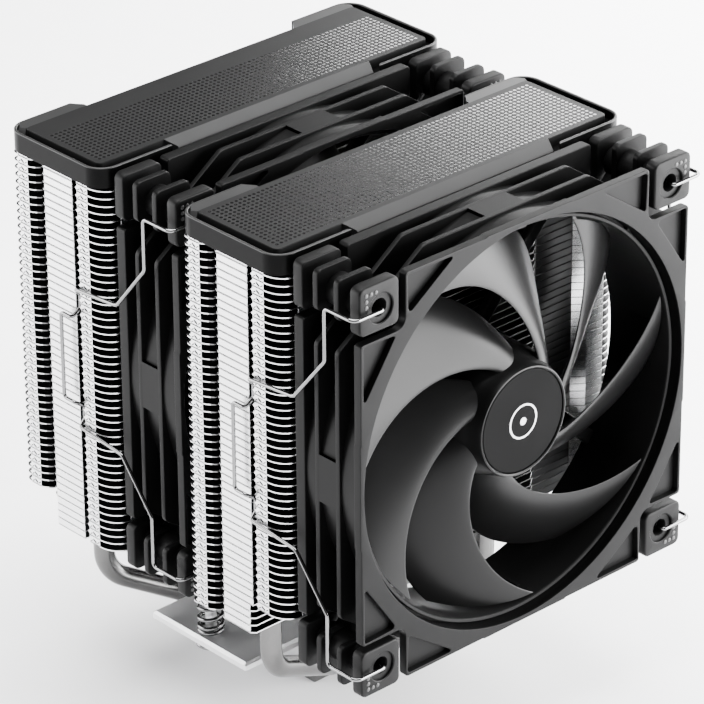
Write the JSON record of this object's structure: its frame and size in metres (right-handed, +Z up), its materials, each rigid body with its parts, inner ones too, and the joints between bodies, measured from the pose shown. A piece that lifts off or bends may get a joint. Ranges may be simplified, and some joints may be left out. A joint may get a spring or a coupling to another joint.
{
  "type": "twin tower cpu air cooler",
  "caption": "Twin-tower CPU air cooler: finned towers on U-shaped heat pipes over a cold plate with a spring-screw crossbar, a fan in front and one between the towers.",
  "frame": {"origin": "centre of the cold plate's underside, where it rests on the processor", "axes": "+X to the right seen from the front fan, +Y the way the air blows, from the front fan to the rear tower, +Z up, away from the processor"},
  "size_m": [0.1292, 0.138, 0.16],
  "materials": {
    "nickel": "satin nickel plating",
    "aluminium": "satin",
    "fin_aluminium": "bright nickel-plated sheet",
    "steel": "satin",
    "spring_steel": "drawn wire",
    "wire_steel": "bright drawn wire",
    "cover_plastic": "satin moulded with a dimpled top",
    "frame_plastic": "satin moulded",
    "blade_plastic": "satin moulded",
    "rubber": "matt",
    "badge": "satin black",
    "magnet": "matt",
    "copper": "enamelled copper wire",
    "circuit_board": "solder mask",
    "brass": "turned"
  },
  "bodies": {
    "cooler": {"cold_plate": "nickel", "base_block": "aluminium", "heat_pipe_1": "nickel", "heat_pipe_2": "nickel", "heat_pipe_3": "nickel", "heat_pipe_4": "nickel", "heat_pipe_5": "nickel", "heat_pipe_6": "nickel", "mounting_crossbar": "steel", "left_tie_screw": "steel", "left_screw_spring": "spring_steel", "right_tie_screw": "steel", "right_screw_spring": "spring_steel", "front_fin_stack": "fin_aluminium", "front_top_cover": "cover_plastic", "rear_fin_stack": "fin_aluminium", "rear_top_cover": "cover_plastic", "front_fan_frame": "frame_plastic", "front_fan_stator": "copper", "front_fan_circuit_board": "circuit_board", "front_fan_bearing_sleeve": "brass", "front_fan_front_pad_lower_left": "rubber", "front_fan_front_pad_upper_left": "rubber", "front_fan_front_pad_lower_right": "rubber", "front_fan_front_pad_upper_right": "rubber", "front_fan_rear_pad_lower_left": "rubber", "front_fan_rear_pad_upper_left": "rubber", "front_fan_rear_pad_lower_right": "rubber", "front_fan_rear_pad_upper_right": "rubber", "middle_fan_frame": "frame_plastic", "middle_fan_stator": "copper", "middle_fan_circuit_board": "circuit_board", "middle_fan_bearing_sleeve": "brass", "middle_fan_front_pad_lower_left": "rubber", "middle_fan_front_pad_upper_left": "rubber", "middle_fan_front_pad_lower_right": "rubber", "middle_fan_front_pad_upper_right": "rubber", "middle_fan_rear_pad_lower_left": "rubber", "middle_fan_rear_pad_upper_left": "rubber", "middle_fan_rear_pad_lower_right": "rubber", "middle_fan_rear_pad_upper_right": "rubber"},
    "front_rotor": {"front_fan_rotor": "blade_plastic", "front_fan_hub_badge": "badge", "front_fan_magnet_ring": "magnet", "front_fan_shaft": "steel"},
    "front_left_clip": {"front_fan_left_clip": "wire_steel"},
    "front_right_clip": {"front_fan_right_clip": "wire_steel"},
    "middle_rotor": {"middle_fan_rotor": "blade_plastic", "middle_fan_hub_badge": "badge", "middle_fan_magnet_ring": "magnet", "middle_fan_shaft": "steel"},
    "middle_left_clip": {"middle_fan_left_clip": "wire_steel"},
    "middle_right_clip": {"middle_fan_right_clip": "wire_steel"},
    "left_screw_seat": {"left_screw_washer": "steel"},
    "left_screw": {"left_spring_screw": "steel", "left_retaining_ring": "steel"},
    "right_screw_seat": {"right_screw_washer": "steel"},
    "right_screw": {"right_spring_screw": "steel", "right_retaining_ring": "steel"}
  },
  "joints": [
    {"name": "front_rotor_spin", "type": "hinge", "parent": "cooler", "child": "front_rotor", "pos_m": [0, -0.0692, 0.1], "axis": [0, 1, 0], "continuous": true},
    {"name": "front_left_clip_swing", "type": "hinge", "parent": "cooler", "child": "front_left_clip", "pos_m": [-0.0525, -0.0827, 0.1], "axis": [0, 0, 1], "range_deg": [0, 50]},
    {"name": "front_right_clip_swing", "type": "hinge", "parent": "cooler", "child": "front_right_clip", "pos_m": [0.0525, -0.0827, 0.1], "axis": [0, 0, -1], "range_deg": [0, 50]},
    {"name": "middle_rotor_spin", "type": "hinge", "parent": "cooler", "child": "middle_rotor", "pos_m": [0, 0.0008, 0.1], "axis": [0, 1, 0], "continuous": true},
    {"name": "middle_left_clip_swing", "type": "hinge", "parent": "cooler", "child": "middle_left_clip", "pos_m": [-0.0525, -0.0127, 0.1], "axis": [0, 0, 1], "range_deg": [0, 14]},
    {"name": "middle_right_clip_swing", "type": "hinge", "parent": "cooler", "child": "middle_right_clip", "pos_m": [0.0525, -0.0127, 0.1], "axis": [0, 0, -1], "range_deg": [0, 14]},
    {"name": "left_screw_press", "type": "slide", "parent": "cooler", "child": "left_screw_seat", "axis": [0, 0, -1], "range_m": [0, 0.003], "stiffness_N_per_m": 8000, "deforming": ["left_screw_spring"]},
    {"name": "left_screw_turn", "type": "hinge", "parent": "left_screw_seat", "child": "left_screw", "pos_m": [-0.0412, 0, 0.025], "axis": [0, 0, -1], "continuous": true},
    {"name": "right_screw_press", "type": "slide", "parent": "cooler", "child": "right_screw_seat", "axis": [0, 0, -1], "range_m": [0, 0.003], "stiffness_N_per_m": 8000, "deforming": ["right_screw_spring"]},
    {"name": "right_screw_turn", "type": "hinge", "parent": "right_screw_seat", "child": "right_screw", "pos_m": [0.0412, 0, 0.025], "axis": [0, 0, -1], "continuous": true}
  ]
}
